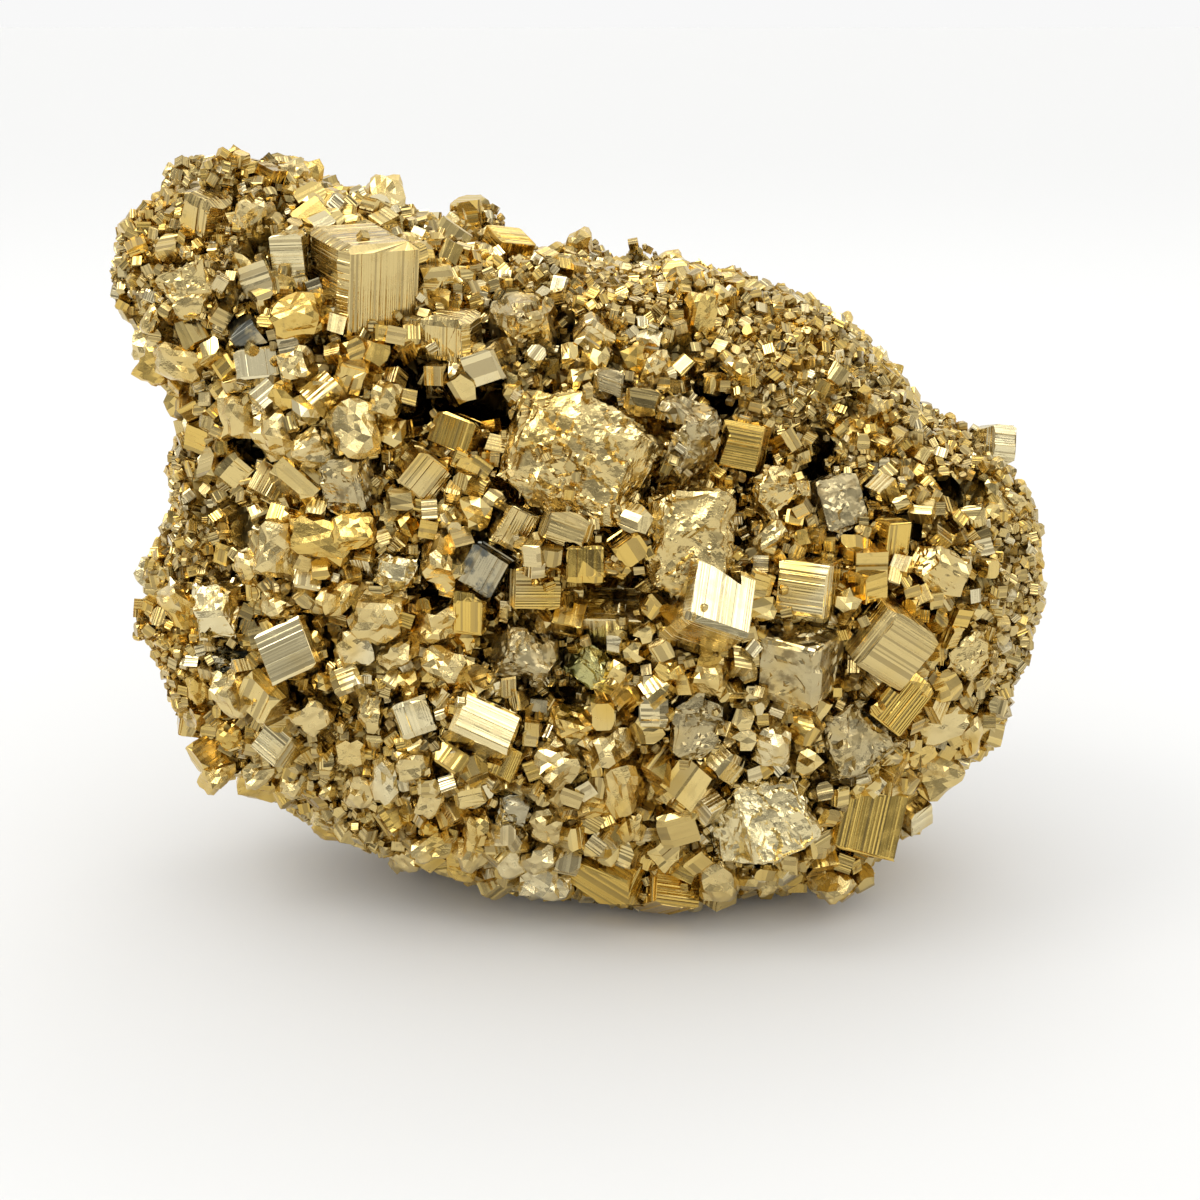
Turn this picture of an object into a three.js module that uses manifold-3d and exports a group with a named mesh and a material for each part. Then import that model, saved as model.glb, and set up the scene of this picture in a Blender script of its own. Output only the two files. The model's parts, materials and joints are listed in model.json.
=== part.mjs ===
// A pyrite specimen: one intergrown mass of small crystals, with the large single crystals seated in it.
// Millimetres, +Z up. The druse side faces -Y and the broken side +Y.
// The origin is at the middle of the bounding box's underside, where the broken base rests.
import * as THREE from "three";
import { mergeVertices } from "three/addons/utils/BufferGeometryUtils.js";
import Module from "manifold-3d";

// ---- Driving dimensions, in millimetres and degrees ----
const CORE = { x: 2, z: 42 }; // the point that the outline is seen from as star-shaped
const LEAN = 0.12; // how far the widest section moves back for each millimetre up
const FRONT = { depth: 26, fullness: 2.3 }; // the domed druse side
const BACK = { depth: 25, fullness: 3.4 }; // the flatter broken side
const BODY_DETAIL = 7; // splits along each edge of the icosahedron that the body is made from
const CLEFT_DETAIL = 2; // the same, for the clefts
const CLEFT_LIFT = 1; // a cleft's middle is this far behind the skin
const SIDE_SHIFT = 20; // sets the lumps of the two sides apart
const BASE_CUT_Z = 0; // the specimen is broken off flat here
const FOOT = { x: 10, y: -17, splay: 0.52, undercut: 1.9 }; // the front tip it stands on, and how it spreads
const SEAT_GAP = 0.3; // left between a large crystal and whatever it is seated in
// The small crystals that belong to the mass itself.
const SMALL = { count: 70, edge: 3.2, fineEdge: 2.4, spread: 1.8, rimShare: 0.965 };
const FINE_CORNER = { x: 12, z: 56 }; // right of this and above it they are finer
const SAME_POINT = 1e-4; // corners nearer than this are one corner
const ON_PLANE = 1e-5; // a corner nearer than this to a plane lies in it

const wasm = await Module();
wasm.setup();
const { sin, cos, abs, sqrt, atan2, PI } = Math;
const radians = THREE.MathUtils.degToRad;

// ---- Outline of the widest section, as [x, z] going anticlockwise from the right ----
const outline = new THREE.CatmullRomCurve3(
  [
    [58, 43], [55, 53], [51, 57], [45, 58], [40, 65], [33, 71], [21, 75],
    [14, 77], [1, 78], [-14, 81], [-29, 86], [-44, 91], [-52, 87], [-57, 78],
    [-50, 65], [-49, 59], [-52, 52], [-51, 46], [-54, 38], [-52, 27],
    [-43, 16], [-30, 7], [-14, -2], [10, -5], [35, -1], [42, 11], [50, 18], [56, 29],
  ].map(([x, z]) => new THREE.Vector3(x, 0, z)),
  true,
  "centripetal",
);

// Swells and hollows of the druse side, as [x, z, radius, height].
const SWELLS = [
  [3, 57, 11, 4], [13, 48, 12, 4.5], [17, 31, 10, 3], [22, 16, 9, 4], [35, 38, 11, 4],
  [-30, 36, 10, 2], [-28, 55, 10, 3], [-26, 77, 9, 3], [-11, 24, 12, 2],
  [9, -1, 18, -3], [-16, 64, 8, -5], [-36, 59, 5, -3], [4, 42, 5, -4], [17, 69, 12, -2], [27, 59, 11, -4],
];

// Deep dark clefts between the crystals: [x, z, half width, half height, half depth, roll].
const CLEFTS = [
  [-19, 66, 1.8, 4.5, 9, 5], [-12, 64.5, 6, 2, 9, -3], [-35, 59.5, 6, 1.4, 6, 4],
  [-16.5, 46, 1.7, 3.2, 7, 15], [4, 45.5, 5.5, 3, 9, 0], [19, 52, 1.7, 4, 8, 12],
  [28, 57, 2, 4, 7, -25], [34, 52.5, 1.3, 2.5, 6, -10], [39.5, 49.5, 1.2, 3, 6, 0],
  [44.5, 53, 1.8, 2.2, 6, 0], [-1.5, 32.5, 4.5, 1, 6, 12], [28.5, 30.5, 1.5, 1.5, 5, 0],
  [-33, 31.5, 2.5, 1.4, 5, 0], [-39, 28.5, 2, 1.3, 5, 0], [-1.5, 71.5, 1.5, 2.4, 7, 0],
  [16.5, 65, 2.2, 2.2, 6, 0], [7.5, 62.5, 1.2, 3, 7, 8],
  [46.5, 61, 3.5, 4, 12, 0], // the notch over the ledge at the right
];

// ---- Shared helpers ----
// How far the outline is from CORE in each direction, looked up in even steps of angle.
const ANGLE_STEPS = 720;
const SAMPLES_PER_STEP = 4;
const reach = (() => {
  const radius = new Float64Array(ANGLE_STEPS);
  const samples = outline.getPoints(ANGLE_STEPS * SAMPLES_PER_STEP);
  for (const p of samples) {
    const turn = (atan2(p.z - CORE.z, p.x - CORE.x) / (2 * PI) + 1) % 1;
    radius[Math.floor(turn * ANGLE_STEPS)] = Math.hypot(p.x - CORE.x, p.z - CORE.z);
  }
  for (let i = 0; i < 2 * ANGLE_STEPS; i++) {
    const at = i % ANGLE_STEPS;
    radius[at] ||= radius[(at + ANGLE_STEPS - 1) % ANGLE_STEPS];
  }
  return (angle) => {
    const turn = ((angle / (2 * PI) + 2) % 1) * ANGLE_STEPS;
    const low = Math.floor(turn) % ANGLE_STEPS;
    return THREE.MathUtils.lerp(radius[low], radius[(low + 1) % ANGLE_STEPS], turn - Math.floor(turn));
  };
})();

// A repeatable number from 0 to 1 for each seed.
function chance(seed) {
  const wave = sin(seed * 127.1 + 311.7) * 43758.5453;
  return wave - Math.floor(wave);
}

// Crossed waves, broad and fine, that raise or lower the skin by up to 1.5 mm.
function lumpiness(x, y, z) {
  const broad = sin(x * 0.34 + 1.7 * sin(z * 0.21)) * sin(z * 0.39 + y * 0.23 + 0.8);
  const fine = sin(x * 0.83 + y * 0.61 + 2.1) * sin(z * 0.92 - x * 0.37 + 4.2);
  return 0.9 * broad + 0.6 * fine;
}

// Y of the body's skin above (x, z), on the druse side (-1) or the broken side (+1).
function skinY(x, z, side) {
  const shape = side < 0 ? FRONT : BACK;
  const dx = x - CORE.x;
  const dz = z - CORE.z;
  const share = Math.min(1, Math.hypot(dx, dz) / reach(atan2(dz, dx)));
  const height = (1 - share ** shape.fullness) ** (1 / shape.fullness);
  let swell = 0;
  if (side < 0) {
    for (const [sx, sz, r, h] of SWELLS) swell += h * Math.exp(-((x - sx) ** 2 + (z - sz) ** 2) / r ** 2);
  }
  const depth = shape.depth + swell + lumpiness(x, side * SIDE_SHIFT, z);
  const y = LEAN * (z - CORE.z) + side * depth * height;
  if (side > 0) return y;
  const underside = FOOT.y + FOOT.splay * abs(x - FOOT.x) - FOOT.undercut * (z - BASE_CUT_Z);
  return Math.max(y, underside);
}

function solidFromArrays(positions, triangles) {
  const mesh = new wasm.Mesh({
    numProp: 3,
    vertProperties: Float32Array.from(positions),
    triVerts: Uint32Array.from(triangles),
  });
  return new wasm.Manifold(mesh);
}

function solidFromGeometry(geometry) {
  geometry.deleteAttribute("normal");
  geometry.deleteAttribute("uv");
  const merged = mergeVertices(geometry, SAME_POINT);
  return solidFromArrays(merged.attributes.position.array, merged.index.array);
}

function geometryFromSolid(solid) {
  const { vertProperties, triVerts } = solid.getMesh();
  const geometry = new THREE.BufferGeometry();
  geometry.setAttribute("position", new THREE.BufferAttribute(new Float32Array(vertProperties), 3));
  geometry.setIndex(new THREE.BufferAttribute(new Uint32Array(triVerts), 1));
  return geometry;
}

// Cutting can leave loose crumbs, and only the largest body is kept.
function largestBody(solid) {
  return solid.decompose().reduce((a, b) => (a.volume() > b.volume() ? a : b));
}

// Everything under the broken base, which is cut away.
const ROOM = 300; // wider than the specimen
const belowBase = solidFromGeometry(
  new THREE.BoxGeometry(ROOM, ROOM, ROOM).translate(0, 0, BASE_CUT_Z - ROOM / 2),
);

// ---- The body: an icosphere stretched to the outline and the two skins ----
function makeBody() {
  const geometry = new THREE.IcosahedronGeometry(1, BODY_DETAIL);
  const position = geometry.attributes.position;
  for (let i = 0; i < position.count; i++) {
    const d = new THREE.Vector3().fromBufferAttribute(position, i).normalize();
    const side = d.y < 0 ? -1 : 1;
    const { fullness } = side < 0 ? FRONT : BACK;
    const flat = Math.hypot(d.x, d.z);
    const share = flat / (flat ** fullness + abs(d.y) ** fullness) ** (1 / fullness);
    const angle = atan2(d.z, d.x);
    const radius = share * reach(angle);
    const x = CORE.x + radius * cos(angle);
    const z = CORE.z + radius * sin(angle);
    const y = abs(d.y) < ON_PLANE ? LEAN * (z - CORE.z) : skinY(x, z, side);
    position.setXYZ(i, x, y, z);
  }
  return solidFromGeometry(geometry);
}

// ---- Crystals: the space inside a set of planes, each a unit normal and a distance ----
// Pyrite grows as a cube whose edges are cut askew by pyritohedron faces, in the same sense all round.
const CUBE_FACES = [[1, 0, 0], [0, 1, 0], [0, 0, 1]];
const PYRITOHEDRON_FACES = [[2, 1, 0], [2, -1, 0], [0, 2, 1], [0, 2, -1], [1, 0, 2], [-1, 0, 2]];
const CORNER_FACES = [[1, 1, 1], [-1, 1, 1], [1, -1, 1], [1, 1, -1]];
const NO_CUT = 2; // far enough out that a cube isn't cut
const HABITS = {
  cube: { pyritohedron: 1.25, corner: NO_CUT, uneven: 0.05 },
  cut_cube: { pyritohedron: 1.14, corner: 1.58, uneven: 0.08 },
  pyritohedron: { pyritohedron: 1.0, corner: 1.42, uneven: 0.1 },
  lump: { pyritohedron: 1.12, corner: 1.36, uneven: 0.26 },
  block: { pyritohedron: NO_CUT, corner: NO_CUT, uneven: 0.12 },
};
const HABITS_IN_A_BOX_SEAT = ["cube", "cut_cube"];

function crystalPlanes(habit, seed, boxOnly) {
  const shape = HABITS[habit];
  const families = [
    [CUBE_FACES, 1],
    [PYRITOHEDRON_FACES, boxOnly ? NO_CUT : shape.pyritohedron],
    [CORNER_FACES, boxOnly ? NO_CUT : shape.corner],
  ];
  const planes = [];
  for (const [faces, distance] of families) {
    for (const face of faces) {
      for (const sign of [1, -1]) {
        const stray = 1 + shape.uneven * (2 * chance(seed + planes.length * 7.3) - 1);
        const normal = new THREE.Vector3(...face).multiplyScalar(sign).normalize();
        planes.push({ normal, distance: distance * stray });
      }
    }
  }
  return planes;
}

function cornersInside(planes) {
  const corners = [];
  const meet = new THREE.Matrix3();
  for (let i = 0; i < planes.length; i++) {
    for (let j = i + 1; j < planes.length; j++) {
      for (let k = j + 1; k < planes.length; k++) {
        const [a, b, c] = [planes[i], planes[j], planes[k]];
        meet.set(...a.normal, ...b.normal, ...c.normal);
        if (abs(meet.determinant()) < ON_PLANE) continue;
        const corner = new THREE.Vector3(a.distance, b.distance, c.distance).applyMatrix3(meet.invert());
        const inside = planes.every((p) => p.normal.dot(corner) < p.distance + ON_PLANE);
        if (inside && !corners.some((c) => c.distanceTo(corner) < SAME_POINT)) corners.push(corner);
      }
    }
  }
  return corners;
}

// Fans each face from its first corner, with the corners in order round the face's normal.
function facesOf(planes, corners) {
  const triangles = [];
  for (const { normal, distance } of planes) {
    const on = corners.map((c, i) => i).filter((i) => abs(normal.dot(corners[i]) - distance) < SAME_POINT);
    if (on.length < 3) continue;
    const centre = new THREE.Vector3();
    for (const i of on) centre.addScaledVector(corners[i], 1 / on.length);
    const across = corners[on[0]].clone().sub(centre).normalize();
    const up = normal.clone().cross(across);
    const angleOf = (i) => {
      const arm = corners[i].clone().sub(centre);
      return atan2(arm.dot(up), arm.dot(across));
    };
    on.sort((i, j) => angleOf(i) - angleOf(j));
    for (let i = 1; i + 1 < on.length; i++) triangles.push(on[0], on[i], on[i + 1]);
  }
  return triangles;
}

// size is the cube's edge, stretch its proportions, turn [pitch, roll, yaw] in degrees, and grow an even
// skin outside it.
function crystalSolid({ habit, seed, size, stretch = [1, 1, 1], turn, at }, grow = 0) {
  const half = new THREE.Vector3(...stretch).multiplyScalar(size / 2);
  const boxOnly = grow > 0 && HABITS_IN_A_BOX_SEAT.includes(habit);
  const planes = crystalPlanes(habit, seed, boxOnly).map(({ normal, distance }) => {
    const sloped = normal.clone().divide(half);
    const length = sloped.length();
    return { normal: sloped.divideScalar(length), distance: distance / length + grow };
  });
  const corners = cornersInside(planes);
  const triangles = facesOf(planes, corners);
  const [pitch, roll, yaw] = turn.map(radians);
  const spin = new THREE.Quaternion()
    .setFromAxisAngle(new THREE.Vector3(0, 0, 1), yaw)
    .multiply(new THREE.Quaternion().setFromAxisAngle(new THREE.Vector3(1, 0, 0), pitch))
    .multiply(new THREE.Quaternion().setFromAxisAngle(new THREE.Vector3(0, 1, 0), roll));
  const place = new THREE.Matrix4().compose(new THREE.Vector3(...at), spin, new THREE.Vector3(1, 1, 1));
  const positions = corners.flatMap((c) => [...c.applyMatrix4(place)]);
  return solidFromArrays(positions, triangles);
}

function cleftSolid([x, z, halfWidth, halfHeight, halfDepth, roll]) {
  const geometry = new THREE.IcosahedronGeometry(1, CLEFT_DETAIL);
  geometry.scale(halfWidth, halfDepth, halfHeight);
  geometry.rotateY(radians(-roll));
  geometry.translate(x, skinY(x, z, -1) + CLEFT_LIFT, z);
  return solidFromGeometry(geometry);
}

// ---- The large single crystals ----
// Each row is: name, [x, z] of its seat, cube edge, habit, [pitch, roll, yaw], tone, share of its edge
// that its centre is sunk below the skin, and its proportions where it isn't an even cube.
// The first listed stands over the later ones where they meet.
const DRUSE_SIDE = [
  // the middle, round the giant rough cube and the plate below it
  ["giant_rough_cube", [0.5, 60], 15.5, "cut_cube", [-12, 18, -10], "brass", 0.24, [1.1, 0.75, 0.88]],
  ["etched_plate", [13, 51], 11, "cut_cube", [-8, 4, 6], "brass", 0.3, [1, 0.7, 1.15]],
  ["silver_lump", [11.5, 60.5], 11, "lump", [0, 25, -15], "tarnished", 0.2, [0.85, 0.8, 1.15]],
  ["white_faced_corner", [15, 44], 8, "cube", [-35, 28, 30], "pale", 0.1],
  ["striated_gold_cube", [19.5, 60], 5.5, "cube", [-18, 8, -12], "golden", 0.1],
  ["grey_column", [3.5, 67], 4, "cut_cube", [-4, 4, 12], "tarnished", 0.1, [0.9, 0.9, 1.2]],
  // the dark pocket and the striated blocks that ring it
  ["striated_pocket_block", [4.5, 41], 7, "cube", [28, 0, -6], "pale", 0.12, [1.1, 0.8, 0.75]],
  ["pocket_cube", [1, 49], 4.5, "cube", [-8, 2, 8], "golden", 0.02],
  ["gable_crystal", [-1, 53], 5.5, "pyritohedron", [-12, 18, 0], "brass", 0.1, [1.2, 0.9, 0.75]],
  ["banded_cube", [-5, 46], 6, "cube", [-4, 4, 14], "brass", 0.06, [1, 1, 0.85]],
  ["dark_faced_cube", [-10, 48], 5, "cube", [-4, 28, -18], "tarnished", 0.06],
  ["banded_column", [-12, 43], 4.5, "cube", [4, 2, -10], "golden", 0.08, [0.9, 0.9, 1.15]],
  ["leaning_cube", [-7, 52.5], 5, "cube", [0, 30, 14], "brass", 0.06],
  ["cleft_lump", [-6, 37], 9, "lump", [10, 20, 15], "tarnished", 0.18, [1.05, 0.8, 0.8]],
  ["green_lump", [1.5, 36], 5.5, "lump", [-10, 40, 10], "tarnished", 0.12],
  // the upper middle and the top left arm
  ["upper_left_cube", [-25, 79], 10, "cube", [8, 0, 33], "brass", 0.15, [1, 1, 1.1]],
  ["upper_rough_lump", [-6, 73], 8.5, "lump", [14, -8, 15], "tarnished", 0.12, [1, 0.9, 0.9]],
  ["fluted_cube", [-15, 72.5], 6.5, "cut_cube", [6, 4, -20], "brass", 0.1, [1.1, 0.9, 0.9]],
  ["crest_cube", [-9, 80], 5, "cube", [20, 10, 28], "golden", 0.14],
  ["arm_step_cube", [-33, 82], 4.5, "cube", [4, -3, -10], "pale", 0.04, [0.9, 0.9, 1.1]],
  ["arm_plate_lump", [-44, 78], 9, "lump", [5, -30, -15], "brass", 0.1, [1.1, 0.8, 0.9]],
  ["arm_tip_cube", [-44, 86], 5, "cut_cube", [10, 20, -25], "brass", 0.16],
  ["slanted_cube", [-37, 69.5], 4.5, "cube", [-24, -4, 12], "pale", 0.04, [1.1, 0.8, 0.8]],
  ["slate_cube", [-38, 73], 4, "cut_cube", [10, -35, 15], "tarnished", 0.06],
  ["amber_cube", [-13.5, 62], 5, "cube", [-14, 14, -24], "golden", 0.02, [1.1, 0.9, 0.8]],
  ["ledge_cube", [-18, 58], 5, "cube", [6, 40, 18], "brass", 0.04],
  ["left_middle_block", [-26, 57], 6.5, "cut_cube", [6, -6, -25], "tarnished", 0.16, [0.9, 0.8, 1.1]],
  ["left_tall_cube", [-36, 55.5], 4.5, "cube", [-30, 35, 20], "brass", 0.02],
  // the left side below the slit
  ["bright_square_cube", [-33, 37], 6.5, "cube", [-20, -28, -14], "pale", 0.02],
  ["left_pale_lump", [-42, 40], 8.5, "lump", [-5, -8, -20], "pale", 0.08],
  ["blue_black_slab", [-41, 34], 4.5, "cut_cube", [15, 5, -20], "tarnished", 0.08, [1.3, 0.8, 0.7]],
  ["white_chip_lump", [-21, 47], 5.5, "lump", [-5, 10, -12], "pale", 0.12],
  ["bright_prism", [-11, 29], 6.5, "cube", [-30, 32, 22], "pale", 0.04, [1.2, 0.9, 0.8]],
  ["pale_tile_cube", [-19, 30], 4.5, "cube", [-8, -18, 6], "pale", 0.06],
  ["rough_column", [-24, 31], 5, "lump", [0, 10, 12], "brass", 0.1, [0.75, 0.8, 1.3]],
  ["lower_left_cube", [-36, 24], 5, "cut_cube", [-20, 30, -20], "pale", 0.08],
  ["honey_cube", [-8, 24.5], 4, "cube", [-12, 20, -15], "golden", 0.06],
  ["blue_faced_cube", [-8, 18], 4.5, "cut_cube", [0, 12, 20], "tarnished", 0.08],
  // the right side
  ["right_shoulder_lump", [23, 55], 9, "lump", [-10, 5, 10], "brass", 0.15, [1.05, 0.9, 0.85]],
  ["capped_lump", [30, 53], 7, "cut_cube", [-15, -10, 25], "tarnished", 0.12],
  ["striated_pale_cube", [27, 45.5], 6.5, "cube", [-6, 2, -22], "pale", 0.08],
  ["grey_rough_cube", [26, 37], 8.5, "cut_cube", [5, 5, -30], "tarnished", 0.12],
  ["striated_right_cube", [36, 39], 8, "cube", [12, 35, 18], "brass", 0.1],
  ["pyramid_crystal", [43, 45.5], 7, "pyritohedron", [-12, 30, 20], "brass", 0.14, [1.15, 0.9, 0.85]],
  ["twin_column", [37, 49], 3.5, "cube", [2, 4, 24], "golden", 0.06, [0.9, 0.9, 1.7]],
  ["golden_blade", [38, 31], 6, "cube", [-10, 40, 8], "golden", 0.08, [0.85, 0.9, 1.2]],
  ["right_edge_lump", [47, 35], 7, "lump", [0, -10, 22], "brass", 0.2, [1.1, 0.8, 0.95]],
  ["rim_corner_cube", [53, 56], 4.5, "cut_cube", [-14, 10, 24], "pale", 0.12, [0.95, 0.9, 1.2]],
  // the lower right corner and the foot
  ["base_boulder", [23, 16], 12, "lump", [-22, -18, 12], "pale", 0.2, [1.05, 0.85, 0.95]],
  ["lower_right_lump", [33, 27], 10, "lump", [-8, -15, 12], "tarnished", 0.16, [1.25, 0.85, 0.85]],
  ["lower_corner_block", [35, 13], 8.5, "cube", [-16, 20, 20], "golden", 0.15, [1.1, 0.9, 1]],
  ["hanging_lump", [13.5, 29.5], 7, "lump", [6, 4, 16], "tarnished", 0.12, [0.85, 0.8, 1.15]],
  ["foot_pyramid", [4, 7], 9, "pyritohedron", [-20, 14, -12], "golden", 0.16, [1.25, 0.9, 0.8]],
  ["foot_cube", [11, 6], 6.5, "cube", [-30, 20, 32], "golden", 0.12],
];
const BROKEN_SIDE = [
  ["back_upper_cube", [-22, 72], 8, "cut_cube", [14, 20, 25], "brass", 0.2],
  ["back_left_cube", [-34, 44], 7, "cube", [-10, 35, -20], "golden", 0.18],
  ["back_right_cube", [33, 50], 8, "cube", [20, -15, 15], "brass", 0.2],
  ["back_lower_cube", [18, 24], 9, "cut_cube", [-15, 25, -25], "brass", 0.22],
];

function placed(row, index, side) {
  const [name, [x, z], size, habit, turn, tone, sink, stretch] = row;
  const at = [x, skinY(x, z, side) - side * sink * size, z];
  return { name, size, habit, turn, tone, stretch, at, seed: 11 + side + index * 3.7 };
}
const largeCrystals = [
  ...DRUSE_SIDE.map((row, index) => placed(row, index, -1)),
  ...BROKEN_SIDE.map((row, index) => placed(row, index, 1)),
];

// Neighbours grow into each other, so each crystal is trimmed by those listed before it.
function makeLargeCrystals() {
  const made = [];
  let taken = null;
  for (const crystal of largeCrystals) {
    const whole = crystalSolid(crystal).subtract(belowBase);
    const solid = largestBody(taken ? whole.subtract(taken) : whole);
    const seat = crystalSolid(crystal, SEAT_GAP);
    taken = taken ? taken.add(seat) : seat;
    made.push({ name: crystal.name, tone: crystal.tone, solid });
  }
  return { made, taken };
}

// ---- The mass: the body, the small crystals that stand out of it, its clefts and the seats ----
const GOLDEN_TURN = PI * (3 - sqrt(5));

function smallCrystals() {
  const solids = [];
  for (let i = 0; i < SMALL.count; i++) {
    const y = 1 - (2 * (i + 0.5)) / SMALL.count;
    const side = y < 0 ? -1 : 1;
    const { fullness } = side < 0 ? FRONT : BACK;
    const flat = sqrt(1 - y * y);
    const share = flat / (flat ** fullness + abs(y) ** fullness) ** (1 / fullness);
    const angle = i * GOLDEN_TURN;
    const radius = SMALL.rimShare * share * reach(angle);
    const x = CORE.x + radius * cos(angle);
    const z = CORE.z + radius * sin(angle);
    const isFine = x > FINE_CORNER.x && z > FINE_CORNER.z;
    const size = (isFine ? SMALL.fineEdge : SMALL.edge) + SMALL.spread * chance(i + 0.5);
    if (z < BASE_CUT_Z + size) continue;
    const turn = [1, 2, 3].map((n) => 360 * chance(i * 5.1 + n));
    solids.push(crystalSolid({ habit: "block", seed: i, size, turn, at: [x, skinY(x, z, side), z] }));
  }
  return solids;
}

function makeMass(taken) {
  const whole = wasm.Manifold.union([makeBody(), ...smallCrystals()]);
  const mass = whole.subtract(wasm.Manifold.union(CLEFTS.map(cleftSolid)));
  return largestBody(mass.subtract(taken).subtract(belowBase));
}

// ---- Materials and assembly ----
const TONES = {
  brass: { color: "#b5965a", roughness: 0.28 },
  pale: { color: "#d2c08c", roughness: 0.22 },
  golden: { color: "#c59a3a", roughness: 0.25 },
  tarnished: { color: "#8d8268", roughness: 0.4 },
};
const materialFor = (tone) => new THREE.MeshStandardMaterial({ ...TONES[tone], metalness: 1 });

const { made, taken } = makeLargeCrystals();
const pieces = [{ name: "crystal_mass", tone: "brass", solid: makeMass(taken) }, ...made];
const specimen = new THREE.Group();
for (const { name, tone, solid } of pieces) {
  const mesh = new THREE.Mesh(geometryFromSolid(solid), materialFor(tone));
  mesh.name = name;
  specimen.add(mesh);
}
const bounds = new THREE.Box3().setFromObject(specimen);
const middle = bounds.getCenter(new THREE.Vector3());
specimen.position.set(-middle.x, -middle.y, -bounds.min.z);

export default specimen;
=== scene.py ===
import json
import math
import random

import bmesh
import bpy
import numpy as np
from mathutils import Matrix, Vector, noise
from mathutils.bvhtree import BVHTree
from mathutils.kdtree import KDTree


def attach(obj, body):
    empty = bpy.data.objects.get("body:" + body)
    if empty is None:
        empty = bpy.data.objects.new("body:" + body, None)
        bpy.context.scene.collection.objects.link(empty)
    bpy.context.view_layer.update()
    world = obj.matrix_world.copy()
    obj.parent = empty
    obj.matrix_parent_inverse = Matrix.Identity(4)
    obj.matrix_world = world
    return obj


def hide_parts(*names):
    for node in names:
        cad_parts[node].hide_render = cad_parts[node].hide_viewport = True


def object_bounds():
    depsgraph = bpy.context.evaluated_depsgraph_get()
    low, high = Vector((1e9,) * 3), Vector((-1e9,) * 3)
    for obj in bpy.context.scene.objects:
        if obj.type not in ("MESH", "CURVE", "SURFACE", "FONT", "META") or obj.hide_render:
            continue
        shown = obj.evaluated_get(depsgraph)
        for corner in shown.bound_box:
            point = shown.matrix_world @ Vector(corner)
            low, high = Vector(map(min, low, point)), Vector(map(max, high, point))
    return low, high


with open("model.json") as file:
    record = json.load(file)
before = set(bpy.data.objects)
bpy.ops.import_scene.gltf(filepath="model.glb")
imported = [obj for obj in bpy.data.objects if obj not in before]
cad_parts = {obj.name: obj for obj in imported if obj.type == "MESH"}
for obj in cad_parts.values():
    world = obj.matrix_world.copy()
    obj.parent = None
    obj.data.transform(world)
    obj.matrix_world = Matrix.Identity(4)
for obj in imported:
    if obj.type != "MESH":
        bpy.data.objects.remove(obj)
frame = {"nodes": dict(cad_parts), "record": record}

MM = 0.001
MERGE = 0.002 * MM  # points nearer than this count as one
cad_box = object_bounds()
NODES = frame["nodes"]
SLOT_OF = {row["node"]: row["material_slot"] for row in frame["record"]["subparts"]}
MASS = "crystal_mass"


# ---- Node helpers ----
def node(tree, kind, links=None, **settings):
    """A new node with its inputs set by name or number, from values or from other sockets."""
    made = tree.nodes.new(kind)
    for name, value in settings.items():
        setattr(made, name, value)
    for socket, value in (links or {}).items():
        target = made.inputs[socket]
        if isinstance(value, bpy.types.NodeSocket):
            tree.links.new(value, target)
        else:
            target.default_value = value
    return made


def noise_value(tree, where, scale, detail=3.0, roughness=0.5):
    texture = {"Vector": where, "Scale": scale, "Detail": detail, "Roughness": roughness}
    made = node(tree, "ShaderNodeTexNoise", texture)
    return made.outputs["Fac"]


def math_value(tree, operation, a, b=0.0, c=0.0):
    return node(tree, "ShaderNodeMath", {0: a, 1: b, 2: c}, operation=operation).outputs[0]


def step(tree, value, low, high):
    """0 below low, 1 above high, and smooth between them."""
    made = node(tree, "ShaderNodeMapRange", {"Value": value, "From Min": low, "From Max": high})
    made.interpolation_type = "SMOOTHSTEP"
    return made.outputs["Result"]


# ---- Camera, lights and floor ----
CAMERA = {"target": (0.0018, 0.0023, 0.036), "elevation": 17, "distance": 0.258, "lens": 60}
FLOOR_SIZE = 12.0
LIGHTS_AIM = (0, 0, 0.04)


def make_camera():
    data = bpy.data.cameras.new("camera")
    data.lens = CAMERA["lens"]
    data.sensor_width = 36
    data.clip_start = 0.01
    camera = bpy.data.objects.new("camera", data)
    lift = math.radians(CAMERA["elevation"])
    back = Vector((0, -math.cos(lift), math.sin(lift)))
    camera.location = Vector(CAMERA["target"]) + back * CAMERA["distance"]
    camera.rotation_euler = (math.pi / 2 - lift, 0, 0)
    bpy.context.scene.collection.objects.link(camera)
    bpy.context.scene.camera = camera


def softbox(name, place, size, power):
    data = bpy.data.lights.new(name, "AREA")
    data.shape = "RECTANGLE"
    data.size, data.size_y = size
    data.energy = power
    light = bpy.data.objects.new(name, data)
    light.location = place
    towards = Vector(LIGHTS_AIM) - Vector(place)
    light.rotation_euler = towards.to_track_quat("-Z", "Y").to_euler()
    bpy.context.scene.collection.objects.link(light)


WORLD_FRONT = 0.16  # what the metal mirrors low in front
WORLD_TOP = 1.05  # and overhead
WORLD_LEAN = 0.5  # how much the way back counts beside the way up
WORLD_RISE = (-0.45, 0.75)  # the heights, on a ball of radius 1, between which it brightens
WORLD_LIGHT = 1.15  # what lights the floor
WORLD_SEEN = 0.94  # what the camera sees beyond the floor's edge
# Bright windows that the metal mirrors: the way to each, the cosines of its soft edge, and its glow.
WINDOWS = [((-0.50, -0.28, 0.82), (0.90, 0.96), 3.6), ((0.62, -0.42, 0.66), (0.95, 0.98), 2.2)]


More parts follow.
